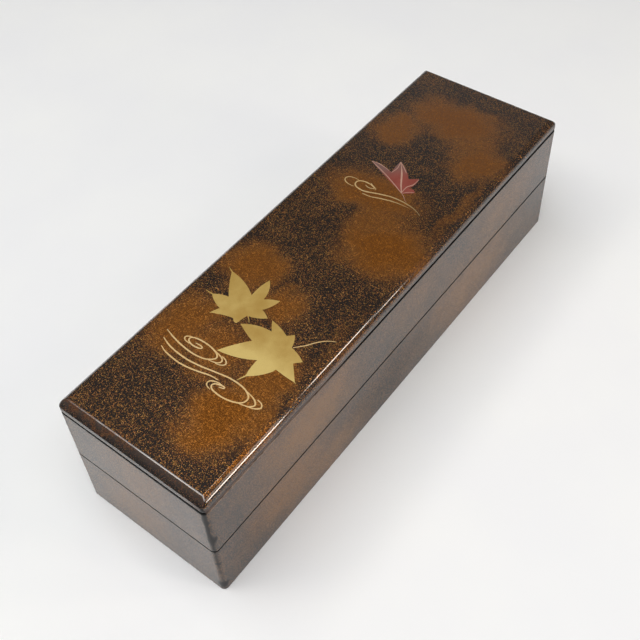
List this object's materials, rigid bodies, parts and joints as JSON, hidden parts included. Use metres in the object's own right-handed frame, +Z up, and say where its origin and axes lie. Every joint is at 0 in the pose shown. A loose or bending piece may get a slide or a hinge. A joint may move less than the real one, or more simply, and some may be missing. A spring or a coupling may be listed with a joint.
{
  "type": "writing box",
  "caption": "Long narrow lacquered writing box: stacked open trays with hollow insides under a flat lift-off lid with bevelled edges.",
  "frame": {"origin": "centre of the bounding box at its bottom, under the middle of the box, on the surface it stands on", "axes": "+X along the length, +Y across the width, +Z up through the lid"},
  "size_m": [0.242, 0.0716, 0.0647],
  "materials": {
    "tray_lacquer": "gloss brown-black lacquer sprinkled with fine gold flakes",
    "lid_lacquer": "gloss amber-brown lacquer sprinkled with gold flakes, with flat gold and red decoration"
  },
  "bodies": {
    "root": {"lower_tray": "tray_lacquer", "upper_tray": "tray_lacquer", "lid": "lid_lacquer"}
  },
  "joints": []
}
